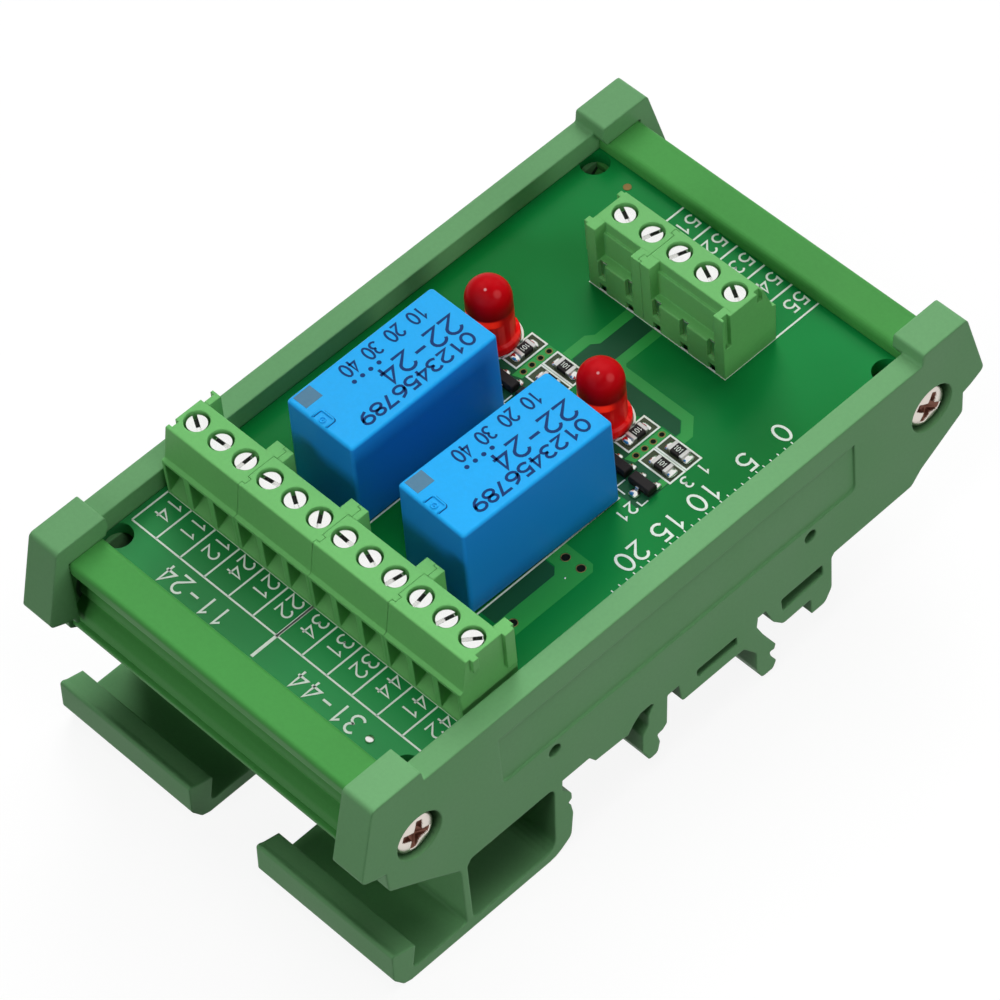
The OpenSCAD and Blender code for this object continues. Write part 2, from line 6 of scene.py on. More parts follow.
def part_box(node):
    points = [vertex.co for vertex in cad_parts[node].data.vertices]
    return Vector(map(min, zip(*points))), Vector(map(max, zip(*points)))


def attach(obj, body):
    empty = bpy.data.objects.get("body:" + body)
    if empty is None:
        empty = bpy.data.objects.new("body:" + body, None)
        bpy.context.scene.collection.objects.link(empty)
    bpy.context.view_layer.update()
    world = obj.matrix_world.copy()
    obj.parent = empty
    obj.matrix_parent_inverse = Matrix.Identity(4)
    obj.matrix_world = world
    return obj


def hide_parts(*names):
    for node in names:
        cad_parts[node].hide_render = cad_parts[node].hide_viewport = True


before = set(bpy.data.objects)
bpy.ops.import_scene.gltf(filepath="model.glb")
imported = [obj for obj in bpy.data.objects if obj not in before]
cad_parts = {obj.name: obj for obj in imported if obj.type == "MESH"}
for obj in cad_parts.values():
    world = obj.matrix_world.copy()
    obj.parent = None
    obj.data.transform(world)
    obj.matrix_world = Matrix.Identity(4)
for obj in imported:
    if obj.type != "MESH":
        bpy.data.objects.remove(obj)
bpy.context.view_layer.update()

mm = 0.001

# Studio: a white sweep in a dark room, lit by six square lamps: two broad ones behind and to the
# left, a weaker one straight behind, a low one to the right, one in front, and a small one close
# above the near corner. The camera stands where the photograph was taken, 51 degrees up.

lens = bpy.data.cameras.new("camera")
lens.sensor_width = 36
lens.lens = 196.57
lens.clip_start = 0.05
lens.clip_end = 20
camera = bpy.data.objects.new("camera", lens)
camera.matrix_world = Matrix((
    (0.69757961, -0.53211753, 0.47982667, 0.259956),
    (0.71360978, 0.57613043, -0.39854085, -0.217171),
    (-0.06437217, 0.62042297, 0.78162111, 0.442932),
    (0, 0, 0, 1)))
bpy.context.scene.collection.objects.link(camera)
bpy.context.scene.camera = camera
bpy.context.scene.view_settings.view_transform = "Standard"

def paint(red, green, blue):
    """Linear colour of a screen colour from 0 to 255: ((v / 255 + 0.055) / 1.055) to the power 2.4."""
    return tuple(((v / 255 + 0.055) / 1.055) ** 2.4 for v in (red, green, blue)) + (1.0,)

def node(tree, kind, sockets=None, **settings):
    """Adds a shader node; each socket takes a constant or the output that feeds it."""
    made = tree.nodes.new("ShaderNode" + kind)
    for name, value in settings.items():
        setattr(made, name, value)
    for name, value in (sockets or {}).items():
        if isinstance(value, bpy.types.NodeSocket):
            tree.links.new(value, made.inputs[name])
        else:
            made.inputs[name].default_value = value
    return made

def calc(tree, way, first, second=0.0):
    """Result of one arithmetic step on two values."""
    return node(tree, "Math", {0: first, 1: second}, operation=way).outputs[0]

def graded(tree, value, start, full, low=0.0, high=1.0, soft=False):
    """Goes from low to high, evenly or in a soft S, while the value goes from start to full."""
    return node(tree, "MapRange", {"Value": value, "From Min": start, "From Max": full, "To Min": low,
                                   "To Max": high},
                interpolation_type="SMOOTHSTEP" if soft else "LINEAR").outputs[0]

def blank(name):
    """A material whose node tree is still empty."""
    made = bpy.data.materials.new(name)
    made.use_nodes = True
    made.node_tree.nodes.clear()
    return made, made.node_tree

room = bpy.data.worlds.new("room")
bpy.context.scene.world = room
room.use_nodes = True
tree = room.node_tree
tree.nodes.clear()
rays = node(tree, "LightPath").outputs
seen = calc(tree, "MAXIMUM", rays["Is Camera Ray"], rays["Is Transmission Ray"])
seen = calc(tree, "MAXIMUM", seen, rays["Is Glossy Ray"])
height = node(tree, "SeparateXYZ", {0: node(tree, "TexCoord").outputs["Generated"]}).outputs["Z"]
overcast = graded(tree, height, 0.0, 1.0, 0.01, 0.03)
level = node(tree, "Mix", {0: seen, 2: overcast, 3: 1.0}).outputs[0]
sky = node(tree, "Background", {"Color": (1, 1, 1, 1), "Strength": level}).outputs[0]
node(tree, "OutputWorld", {"Surface": sky})

def softbox(name, place, aim, size, power):
    """Square lamp that faces the point it is aimed at; no camera or mirror sees the lamp itself."""
    lamp = bpy.data.lights.new(name, "AREA")
    lamp.size = size
    lamp.energy = power
    made = bpy.data.objects.new(name, lamp)
    from_lamp = Vector(place) - Vector(aim)
    made.location = place
    made.rotation_euler = from_lamp.to_track_quat("Z", "Y").to_euler()
    made.visible_glossy = False
    made.visible_camera = False
    bpy.context.scene.collection.objects.link(made)

middle = (0, 0, 0.025)
softbox("key_lamp", (-0.50, 0.50, 0.58), middle, 0.4, 3.4)
softbox("high_lamp", (-0.28, 0.28, 0.83), middle, 0.5, 2.4)
softbox("back_lamp", (0.00, 0.71, 0.58), middle, 0.35, 1.7)
softbox("side_lamp", (0.87, 0.12, 0.21), middle, 0.35, 2.4)
softbox("front_lamp", (-0.06, -0.81, 0.41), middle, 0.4, 2.3)
softbox("near_lamp", (0.04, -0.032, 0.13), (0.01, -0.01, 0.025), 0.05, 0.038)

white, tree = blank("studio_white")
rays = node(tree, "LightPath").outputs
seen = calc(tree, "MAXIMUM", rays["Is Camera Ray"], rays["Is Glossy Ray"])
glow = calc(tree, "MULTIPLY", seen, 0.9)
shade = node(tree, "BsdfDiffuse", {"Color": (0.12, 0.12, 0.12, 1)}).outputs[0]
lift = node(tree, "Emission", {"Color": (1, 1, 1, 1), "Strength": glow}).outputs[0]
node(tree, "OutputMaterial", {"Surface": node(tree, "AddShader", {0: shade, 1: lift}).outputs[0]})
sweep = bpy.data.meshes.new("sweep")
reach = 3.0
sweep.from_pydata([(-reach, -reach, 0), (reach, -reach, 0), (reach, reach, 0), (-reach, reach, 0)],
                  [], [(0, 1, 2, 3)])
sweep.materials.append(white)
floor = bpy.data.objects.new("floor", sweep)
bpy.context.scene.collection.objects.link(floor)

# Carrier: one extruded profile of green plastic, cut to length, which holds the board in the
# slots of its two walls. Its colour is even, with a fine grain, and its lips are rounded.

def effect(name, takes, gives):
    """Starts a node group: takes are (name, socket type, value), gives are (name, socket type)."""
    tree = bpy.data.node_groups.new(name, "ShaderNodeTree")
    for label, kind, value in takes:
        tree.interface.new_socket(label, in_out="INPUT", socket_type=kind).default_value = value
    for label, kind in gives:
        tree.interface.new_socket(label, in_out="OUTPUT", socket_type=kind)
    return tree, tree.nodes.new("NodeGroupInput").outputs, tree.nodes.new("NodeGroupOutput").inputs

def give(tree, result, **values):
    """Links the values of a node group to its outputs."""
    for name, value in values.items():
        tree.links.new(value, result[name])

def use(tree, group, **sockets):
    """Places a node group in a material with its own values, and hands out its outputs."""
    return node(tree, "Group", sockets, node_tree=group).outputs

def mix(tree, factor, first, second, way="MIX"):
    """Colour mix of two colours or colour outputs."""
    return node(tree, "Mix", {0: factor, 6: first, 7: second}, data_type="RGBA", blend_type=way).outputs[2]

def noise(tree, where, scale, detail):
    """Cloudy pattern from 0 to 1."""
    return node(tree, "TexNoise", {"Vector": where, "Scale": scale, "Detail": detail}).outputs["Fac"]

# Moulded surface: slow drift of the colour, a fine spark grain and slightly uneven gloss.
moulded, given, result = effect("moulded_surface",
    [("Colour", "NodeSocketColor", (1, 1, 1, 1)), ("Rough", "NodeSocketFloat", 0.45)],
    [("Colour", "NodeSocketColor"), ("Rough", "NodeSocketFloat"), ("Height", "NodeSocketFloat")])
where = node(moulded, "TexCoord").outputs["Object"]
slow = noise(moulded, where, 90.0, 3.0)
fine = noise(moulded, where, 2600.0, 2.0)
swing = calc(moulded, "SUBTRACT", calc(moulded, "ADD", slow, fine), 1.0)
factor = calc(moulded, "ADD", calc(moulded, "MULTIPLY", swing, 0.12), 1.0)
tone = node(moulded, "CombineColor", {0: factor, 1: factor, 2: factor}).outputs[0]
gloss = graded(moulded, slow, 0.3, 0.7, -0.06, 0.06)
give(moulded, result, Colour=mix(moulded, 1.0, given["Colour"], tone, "MULTIPLY"),
     Rough=calc(moulded, "ADD", gloss, given["Rough"]), Height=fine)

# Rounded edge: the normal turned over a small radius at every edge, and a mask of those edges, which the
# plastics use for a painted highlight.
edges, given, result = effect("rounded_edge",
    [("Radius", "NodeSocketFloat", 0.0002)],
    [("Normal", "NodeSocketVector"), ("Edge", "NodeSocketFloat")])
round_over = node(edges, "Bevel", {"Radius": given["Radius"]}, samples=6).outputs["Normal"]
flat = node(edges, "NewGeometry").outputs["True Normal"]
agree = node(edges, "VectorMath", {0: round_over, 1: flat}, operation="DOT_PRODUCT").outputs["Value"]
give(edges, result, Normal=round_over, Edge=graded(edges, agree, 1.0, 0.8))

def plastic(name, colour, rough=0.45, radius=0.00022, light=1.25, spec=0.14, mask=None, over=None):
    """Moulded plastic: its colour drifts a little, its edges are rounded and carry a painted highlight.
    The mask is built in the material's tree, and lays the colour over on the plastic's own as painted shade."""
    made, tree = blank(name)
    skin = use(tree, moulded, Colour=colour, Rough=rough)
    rim = use(tree, edges, Radius=radius)
    # Painted highlight: along the edges the colour is mixed towards a lighter copy of itself.
    bright = tuple(min(1.0, c * light) for c in colour[:3]) + (1.0,)
    tone = mix(tree, calc(tree, "MULTIPLY", rim["Edge"], 0.6), skin["Colour"], bright)
    if mask:
        tone = mix(tree, mask(tree), tone, over)
    shade = node(tree, "BsdfPrincipled", {
        "Base Color": tone, "Roughness": skin["Rough"], "Specular IOR Level": spec,
        "Normal": node(tree, "Bump", {"Strength": 0.12, "Distance": 0.00005, "Height": skin["Height"],
                                      "Normal": rim["Normal"]}).outputs[0]})
    node(tree, "OutputMaterial", {"Surface": shade.outputs[0]})
    return made

def dress(names, material):
    """Gives CAD nodes their finish."""
    for name in names:
        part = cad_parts[name]
        part.data.materials.clear()
        part.data.materials.append(material)

dress(["carrier_tray"], plastic("carrier_green", paint(73, 148, 73), rough=0.5))

# Side caps: two injection moulded ends of green nylon, with the rail feet, screwed to the carrier.
# The moulding is duller and greyer than the terminals; the left one is painted a little darker as
# painted shade, and the counterbores of both carry painted shade.
cap_screw_y = 35.45
bore_wall = (0.003, 0.0028)
bore_mouth = (0.0241, 0.0234)
# Colour of the painted shade in the counterbores.
bore_painted_shade = paint(34, 60, 38)

def painted_bore_shade(tree):
    """Painted shade: 1 inside the four counterbores below the caps' faces, where no light reaches the floors.
    """
    low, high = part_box("cap_screws")
    place = node(tree, "SeparateXYZ", {0: node(tree, "TexCoord").outputs["Object"]}).outputs
    arm = node(tree, "CombineXYZ", {"X": calc(tree, "ABSOLUTE", place["Y"]), "Y": place["Z"]}).outputs[0]
    centre = (cap_screw_y * mm, (low.z + high.z) / 2, 0)
    away = node(tree, "VectorMath", {0: arm, 1: centre}, operation="DISTANCE").outputs["Value"]
    within = graded(tree, away, *bore_wall)
    below = graded(tree, calc(tree, "ABSOLUTE", place["X"]), *bore_mouth)
    return calc(tree, "MULTIPLY", within, below)

# The left cap's material is a darker copy of the right one's: painted shade.
for part, name, colour in (("side_cap_right", "cap_green", paint(108, 163, 110)),
                           ("side_cap_left", "cap_green_left_shaded", paint(101, 153, 103))):
    dress([part], plastic(name, colour, rough=0.5, radius=0.00035, mask=painted_bore_shade, over=bore_painted_shade))

# Circuit board: glass laminate with a glossy green solder mask, slid into the carrier's slots. The
# mask runs slightly uneven over the glass weave, and towards the front edge it is painted paler, a
# painted reflection in its gloss.
board_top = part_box("circuit_board")[1].z
# Colour of the painted reflection towards the front edge.
front_reflection = paint(120, 190, 140)

coat, given, result = effect("solder_mask",
    [("Dark", "NodeSocketColor", (0, 0, 0, 1)), ("Light", "NodeSocketColor", (1, 1, 1, 1))],
    [("Colour", "NodeSocketColor"), ("Height", "NodeSocketFloat")])
where = node(coat, "TexCoord").outputs["Object"]
spread = graded(coat, noise(coat, where, 38.0, 2.0), 0.35, 0.65)
along = node(coat, "SeparateXYZ", {0: where}).outputs["Y"]
# Painted reflection: the mask turns paler towards the front edge.
front = graded(coat, along, -0.022, -0.034, 0.0, 0.16)
give(coat, result, Colour=mix(coat, front, mix(coat, spread, given["Dark"], given["Light"]), front_reflection),
     Height=noise(coat, where, 2500.0, 1.0))

def masked(name, dark, light, spec=0.08):
    """What lies under the glossy solder mask, in colours that wander from dark to light."""
    made, tree = blank(name)
    skin = use(tree, coat, Dark=dark, Light=light)
    shade = node(tree, "BsdfPrincipled", {
        "Base Color": skin["Colour"], "Roughness": 0.24, "Specular IOR Level": spec,
        "Normal": node(tree, "Bump", {"Strength": 0.08, "Distance": 0.00003,
                                      "Height": skin["Height"]}).outputs[0]})
    node(tree, "OutputMaterial", {"Surface": shade.outputs[0]})
    return made

dress(["circuit_board"], masked("board_green", paint(8, 108, 44), paint(20, 134, 64)))

# Fields of bare laminate: where no copper lies under the mask, the glass shows through it as a
# darker grey green.
def unit(arrows):
    """Arrows of length 1."""
    return arrows / np.linalg.norm(arrows, axis=1)[:, None]

def lifted(outline, z):
    """Points of a flat outline, set at a height."""
    return np.c_[outline, np.full(len(outline), z)]

def tube(rings, closed=False):
    """Skin over rings of points: ring i joins ring i + 1 by quads, and the end rings are capped."""
    count, around = rings.shape[:2]
    index = np.arange(count * around).reshape(count, around)
    following = np.roll(index, -1, 0) if closed else index[1:]
    start = index if closed else index[:-1]
    quads = np.stack([start, following, np.roll(following, -1, 1), np.roll(start, -1, 1)], -1)
    ends = [] if closed else [index[0], index[-1][::-1]]
    return rings.reshape(-1, 3), quads.reshape(-1, 4), ends

def ribbon(path, width, low, high, closed=False):
    """Flat bar along a path in the XY plane: at each point the two edges stand half the width
    to the left and right, along the mitre of the two neighbouring directions."""
    path = np.asarray(path, float)
    ahead = np.roll(path, -1, 0) - path
    behind = path - np.roll(path, 1, 0)
    if not closed:
        ahead[-1] = behind[-1]
        behind[0] = ahead[0]
    ahead = unit(ahead)
    mean = unit(ahead + unit(behind))
    stretch = 1 / np.clip((mean * ahead).sum(1), 0.5, 1)
    across = np.stack([-mean[:, 1], mean[:, 0]], 1) * (width / 2 * stretch)[:, None]
    left, right = path + across, path - across
    return tube(np.stack([lifted(right, low), lifted(right, high), lifted(left, high), lifted(left, low)], 1),
                closed)

def slab(outline, low, high):
    """Flat plate: an outline that runs counterclockwise, lifted from one height to another."""
    outline = np.asarray(outline, float)[::-1]
    return tube(np.stack([lifted(outline, low), lifted(outline, high)]))

def piece(name, shapes, material, smooth=False, hides=()):
    """One mesh out of several shapes, in millimetres over the board, that rides on the body."""
    points, faces, first = [], [], 0
    for some, quads, ends in shapes:
        points.append(some)
        faces += (quads + first).tolist() + [(end + first).tolist() for end in ends]
        first += len(some)
    mesh = bpy.data.meshes.new(name)
    mesh.from_pydata((np.concatenate(points) * mm + [0, 0, board_top]).tolist(), [], faces)
    mesh.materials.append(material)
    if smooth:
        mesh.shade_smooth()
    made = bpy.data.objects.new(name, mesh)
    bpy.context.scene.collection.objects.link(made)
    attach(made, "root")
    if hides:
        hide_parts(*hides)
    return made

circuits = (0, -15.8)
bare_green = masked("bare_laminate", paint(22, 74, 46), paint(36, 90, 60))
relay_gap = [(12.4, -15.4), (14.4, -15.4), (14.4, -7.4), (13.7, -6.7), (12.4, -6.7)]
inlet_field = [(-3.0, 21.2), (-3.0, 16.9), (-3.6, 15.9), (-3.6, 13.0), (-2.0, 12.0), (5.6, 12.0), (9.2, 12.9),
               (10.9, 12.9), (10.9, 13.5), (9.9, 14.6), (0.6, 14.6), (-0.4, 15.6), (-0.4, 21.2)]
chip_field = np.array([(7.0, 3.9), (14.6, 3.9), (14.6, 8.3), (7.0, 8.3)])
fields = [relay_gap, inlet_field] + [chip_field + (shift, 0) for shift in circuits]
piece("bare_fields", [slab(outline, 0, 0.01) for outline in fields], bare_green)

# Copper tracks: etched foil under the mask, which lifts it by its own thickness and shows through
# it as a lighter green.
copper_green = masked("masked_copper", paint(42, 146, 64), paint(54, 154, 74), spec=0.14)
foil = 0.02
feeds = [[(-3.6, 21.2), (-3.6, 16.5), (-4.28, 15.7), (-4.28, 12.8)],
         [(0.17, 21.2), (0.17, 15.9), (0.85, 15.28), (10.2, 15.28), (11.6, 13.75), (11.6, 12.8)]]
bridge = np.array([(14.05, 8.2), (14.05, 7.1)])
via_field = np.array([(9.2, 7.4), (10.3, 7.8), (10.3, 12.7), (9.2, 12.7)])
relay_field = [(11.6, -6.55), (11.6, -3.9), (16.2, -3.9), (16.85, -4.6), (16.85, -20.2), (14.4, -20.2),
               (14.4, -7.4), (13.6, -6.55)]
copper = [ribbon(path, 1.2, 0, foil) for path in feeds]
copper += [ribbon(bridge + (shift, 0), 0.9, 0, foil) for shift in circuits]
copper += [slab(via_field + (shift, 0), 0, foil) for shift in circuits]
copper += [slab(relay_field, 0, foil)]
piece("copper_tracks", copper, copper_green)

# Pad fields and holes: the ground round the pads of the three chip resistors of each circuit is
# brown, and drilled holes and vias show a bare copper ring round a dark disc of painted shade.
def circle(x, y, radius, count=28):
    """Counterclockwise points on a circle: x + r cos t, y + r sin t."""
    turn = np.linspace(0, 2 * np.pi, count, endpoint=False)
    return np.stack([x + radius * np.cos(turn), y + radius * np.sin(turn)], 1)

# Turned metal: fine marks in its gloss and its colour.
turned, given, result = effect("turned_metal",
    [("Colour", "NodeSocketColor", (1, 1, 1, 1)), ("Streak", "NodeSocketFloat", 900.0),
     ("Rough", "NodeSocketFloat", 0.3)],
    [("Colour", "NodeSocketColor"), ("Rough", "NodeSocketFloat"), ("Height", "NodeSocketFloat")])
marks = noise(turned, node(turned, "TexCoord").outputs["Object"], given["Streak"], 3.0)
dull = mix(turned, 1.0, given["Colour"], (0.6, 0.6, 0.6, 1), "MULTIPLY")
give(turned, result, Colour=mix(turned, graded(turned, marks, 0.3, 0.7, 0.86, 1.0), dull, given["Colour"]),
     Rough=calc(turned, "ADD", graded(turned, marks, 0.0, 1.0, -0.1, 0.12), given["Rough"]), Height=marks)

def metal(name, colour, rough=0.3, streak=900.0):
    """Plated metal: fine turning marks in its gloss and a soft edge."""
    made, tree = blank(name)
    skin = use(tree, turned, Colour=colour, Streak=streak, Rough=rough)
    rim = use(tree, edges, Radius=0.00008)
    shade = node(tree, "BsdfPrincipled", {
        "Base Color": skin["Colour"], "Metallic": 1.0, "Roughness": skin["Rough"],
        "Normal": node(tree, "Bump", {"Strength": 0.1, "Distance": 0.00003, "Height": skin["Height"],
                                      "Normal": rim["Normal"]}).outputs[0]})
    node(tree, "OutputMaterial", {"Surface": shade.outputs[0]})
    return made

pad_brown = masked("pad_field", paint(52, 60, 44), paint(72, 84, 62))
boxes = [(x0 + shift, x1 + shift, y0, y1) for shift in circuits
         for x0, x1, y0, y1 in ((6.83, 8.93, 8.3, 12.6), (10.45, 14.68, 10.55, 12.6),
                                (10.45, 14.68, 8.25, 10.3))]
piece("pad_fields", [slab([(x0, y0), (x1, y0), (x1, y1), (x0, y1)], 0, 0.022) for x0, x1, y0, y1 in boxes],
      pad_brown)
ring_tan = metal("bare_copper_ring", paint(160, 132, 84), rough=0.45)
hole_dark = plastic("hole_shadow", paint(16, 22, 18), rough=0.8, radius=0.00002, spec=0.1)
vias = [(9.75 + shift, 8.5 + 1.2 * i) for shift in circuits for i in range(4)]
drills = [(13.64, -5.13), (15.7, -5.06), (15.58, -14.17)]
rings = [ribbon(circle(x, y, 0.34), 0.1, 0, 0.035, True) for x, y in vias]
rings += [ribbon(circle(x, y, 0.48), 0.1, 0, 0.035, True) for x, y in drills]
rings += [slab(circle(-15.7, 32.9, 0.45), 0, 0.06)]
piece("hole_rings", rings, ring_tan)
# Painted shade: a dark disc stands in the mouth of each hole.
mouth_shades = [slab(circle(x, y, 0.27, 16), 0, 0.025) for x, y in vias]
mouth_shades += [slab(circle(x, y, 0.44, 20), 0, 0.025) for x, y in drills]
piece("hole_mouths", mouth_shades, hole_dark)

# Legend: frames, plain numbers and a scale, screen printed in white ink over mask and copper. It
# stands up from the mask by a thin coat, and every line of it is a flat bar of even width.
def arc(x, y, wide, high, start, end, count=10):
    """Points on an ellipse about (x, y), from one angle to another in degrees."""
    turn = np.radians(np.linspace(start, end, count))
    return np.stack([x + wide * np.cos(turn), y + high * np.sin(turn)], 1).tolist()

strokes = {
    "0": [arc(0.3, 0.5, 0.3, 0.5, 90, 450, 21)],
    "1": [[(0.1, 0.76), (0.34, 1), (0.34, 0)]],
    "2": [arc(0.3, 0.7, 0.29, 0.3, 165, -35) + [(0, 0), (0.6, 0)]],
    "3": [arc(0.28, 0.75, 0.27, 0.25, 150, -80), arc(0.28, 0.26, 0.31, 0.26, 85, -150)],
    "4": [[(0.46, 0), (0.46, 1), (0, 0.3), (0.6, 0.3)]],
    "5": [[(0.55, 1), (0.1, 1), (0.05, 0.56)] + arc(0.27, 0.32, 0.32, 0.32, 110, -150)],
    "6": [arc(0.3, 0.3, 0.3, 0.3, 180, 540, 17), [(0, 0.34), (0.06, 0.62), (0.2, 0.84), (0.48, 1)]],
    "7": [[(0, 1), (0.6, 1), (0.22, 0)]],
    "8": [arc(0.3, 0.76, 0.25, 0.24, -90, 270, 17), arc(0.3, 0.26, 0.3, 0.26, 90, 450, 17)],
    "-": [[(0.06, 0.5), (0.54, 0.5)]]}
strokes["9"] = [[(0.6 - x, 1 - y) for x, y in line] for line in strokes["6"]]
ink_low, ink_high = 0.02, 0.045

def write(text, at, size, width, right=(0, -1), up=(1, 0), low=ink_low, high=ink_high, gap=0.86, wide=1.0):
    """Ribbons of a number: each stroke point is at + right * x + up * y, in units of the size."""
    made = []
    for i, sign in enumerate(text):
        for line in strokes.get(sign, []):
            line = np.array(line) * (size * wide, size) + (i * gap * size, 0)
            made.append(ribbon(np.array(at) + line[:, :1] * right + line[:, 1:] * up, width, low, high))
    return made

ink_white = plastic("white_ink", paint(222, 232, 222), rough=0.5, radius=0.00002, light=1.0)
ink = []
def rule(*points, width=0.2, closed=False):
    """One inked line."""
    ink.append(ribbon(points, width, ink_low, ink_high, closed))

output_pitch, input_pitch = 3.5, 3.81
left, right, back, front = -20.93, 21.4, -25.9, -30.75
rule((left, back), (right, back))
rule((left, front), (right, front))
for i in range(12):
    rule((left + 3.49 * i, back), (left + 3.49 * i, front))
rule((0.0, -25.8), (0.0, -34.1), width=0.36)
for i, number in enumerate(["14", "11", "12", "24", "21", "22", "34", "31", "32", "44", "41", "42"]):
    ink += write(number, (-20.0 + output_pitch * i, -26.2), 1.75, 0.2)
ink += write("11-24", (-5.0, -31.8), 2.2, 0.26, (-1, 0), (0, -1))
ink += write("31-44", (13.8, -31.8), 2.2, 0.26, (-1, 0), (0, -1))
left, right, back, front = -9.5, 9.43, 34.8, 27.5
for i in range(5):
    rule((left + input_pitch * i, back), (left + input_pitch * i, front), width=0.22)
    ink += write("%d" % (51 + i), (-8.4 + input_pitch * i, 34.6), 1.65, 0.22)
rule((right, back), (right, 21.37), (left, 21.37), (left, front))
for x0, x1, y0, y1 in boxes:
    rule((x0, y0), (x1, y0), (x1, y1), (x0, y1), closed=True)
for shift in circuits:
    rule((11.1 + shift, 5.6), (11.1 + shift, 4.3), (12.4 + shift, 4.3), width=0.16)
    rule((14.6 + shift, 5.3), (14.6 + shift, 4.4), (13.9 + shift, 4.4), width=0.16)
    for number, x, y in (("1", 15.1, 12.2), ("3", 15.1, 9.9), ("1", 13.4, 2.6), ("2", 13.4, 3.9)):
        ink += write(number, (x + shift, y), 1.35, 0.21)
    ink.append(ribbon(circle(4.13 + shift, 9.65, 3.06, 40), 0.22, ink_low, ink_high, True))
for x in (-8.12, 7.61):
    rule((x - 4.72, -16.3), (x + 4.7, -16.3), (x + 4.7, 3.58), (x - 4.72, 3.58), width=0.18, closed=True)
for i, number in enumerate(["0", "5", "10", "15", "20"]):
    ink += write(number, (17.2, 20.9 - 5 * i), 2.2, 0.29)
for i in range(26):
    rule((19.75, 20.0 - i), (20.2 + 0.4 * (i % 5 == 0), 20.0 - i), width=0.12)
piece("white_ink", ink, ink_white)

# Terminal strips: housings of green polyamide that hook into each other by small ribs; each pole
# has a steel clamp cage, a slotted nickel screw and a tinned pin, soldered under the board.
terminal_green = plastic("terminal_green", paint(106, 178, 102), rough=0.42, spec=0.22)
dress([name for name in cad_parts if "_housing_" in name], terminal_green)
clamp_nickel = metal("clamp_nickel", paint(250, 250, 248), rough=0.24)
dress(["output_screws", "input_screws"], clamp_nickel)
clamp_steel = metal("clamp_metal", paint(190, 190, 186), rough=0.35)
dress(["output_cages", "input_cages"], clamp_steel)
tin = metal("pin_tin", paint(215, 215, 212))
dress(["output_pins", "input_pins", "relay_pins", "led_leads", "chip_resistor_ends", "solder_joints"], tin)

# Slot shades: the clamp screws stand deep in their wells, so one end of each slot stays dark. A
# dark face lies there, from the slot's middle towards the back left.
slot_dark = plastic("slot_shade", paint(40, 42, 40), rough=0.6, radius=0.00001, spec=0.1)
output_turns = [-29, 3, 90, 9, -30, -53, -2, -18, 80, 100, 75, 50]
input_turns = [-29, -24, 70, 72, -25]
slot_half, slot_reach, shade_thick = 0.21, (0.02, 0.93), 0.12
slots = [(0.08 + output_pitch * (i - 5.5), -22.4, 8.3, turn) for i, turn in enumerate(output_turns)]
slots += [(7.59 - input_pitch * i, 25.05, 7.9, turn) for i, turn in enumerate(input_turns)]
shades = []
for x, y, z, turn in slots:
    along = np.array([np.cos(np.radians(turn)), np.sin(np.radians(turn))])
    if along[0] > along[1]:
        along = -along
    across = np.array([-along[1], along[0]]) * slot_half
    near, far = ((x, y) + along * away for away in slot_reach)
    shades.append(slab([near - across, far - across, far + across, near + across], z, z + shade_thick))
piece("slot_shades", shades, slot_dark)

# Cap screws: nickel plated steel tapping screws with a domed pan head and a cross recess, driven
# into the tubes of the carrier. The recess is painted a darker brown, as painted shade.
head_seat, head_height, shank_radius, shank_length = 22.6, -5.1, 1.0, 9.0

def cross_head(x, y, z, side, turn, radius=2.42, rings=40, count=160):
    """Closed screw of rings of radius r about the X axis. Over the head the height is
    0.78 + 0.52 sqrt(1 - (r / radius) ^ 2.6) less a cross shaped recess, then come rim and shank.
    The recess depth at each face is handed out too, with the two end faces last."""
    angle = np.linspace(0, 2 * np.pi, count, endpoint=False)
    r = np.r_[0.02, np.linspace(0.08, radius, rings - 1)][:, None]
    u, v = abs(r * np.cos(angle - np.radians(turn))), abs(r * np.sin(angle - np.radians(turn)))
    long, wide = np.maximum(u, v), np.minimum(u, v)
    inside = np.clip((0.62 - 0.1 * long - wide) / 0.12, 0, 1) * np.clip((1.8 - long) / 0.25, 0, 1)
    sunk = inside * (0.95 - 0.38 * long)
    height = 0.78 + 0.52 * np.sqrt(np.clip(1 - (r / radius) ** 2.6, 0, 1)) - sunk
    r = np.r_[r, [[radius], [shank_radius], [shank_radius], [0.02]]] * np.ones(count)
    height = np.r_[height, np.zeros((2, count)), np.full((2, count), -shank_length)]
    rows = np.stack([x + side * height, y + r * np.cos(angle), z + r * np.sin(angle)], 2)
    deep = np.r_[sunk, np.zeros((4, count))]
    if side > 0:
        rows, deep = rows[::-1], deep[::-1]
    deep = (deep[:-1] + deep[1:]) / 2
    deep = (deep + np.roll(deep, -1, 1)) / 2
    return tube(rows), np.r_[deep.ravel(), 0, deep[-1, 0]]

nickel = metal("screw_nickel", paint(222, 213, 204))
recess_brown = metal("recess_brown", paint(120, 82, 70), rough=0.42, streak=1800.0)
heads, depths = [], []
for side, y, turn in ((1, -cap_screw_y, -20), (1, cap_screw_y, -33),
                      (-1, -cap_screw_y, 12), (-1, cap_screw_y, 40)):
    head, depth = cross_head(side * head_seat, y, head_height, side, turn)
    heads.append(head)
    depths.append(depth)
screws = piece("pan_heads", heads, nickel, True, ("cap_screws",))
# Painted shade: faces more than 0.1 mm deep in the recess take the darker brown metal.
screws.data.materials.append(recess_brown)
screws.data.polygons.foreach_set("material_index", (np.concatenate(depths) > 0.1).astype(np.int32))

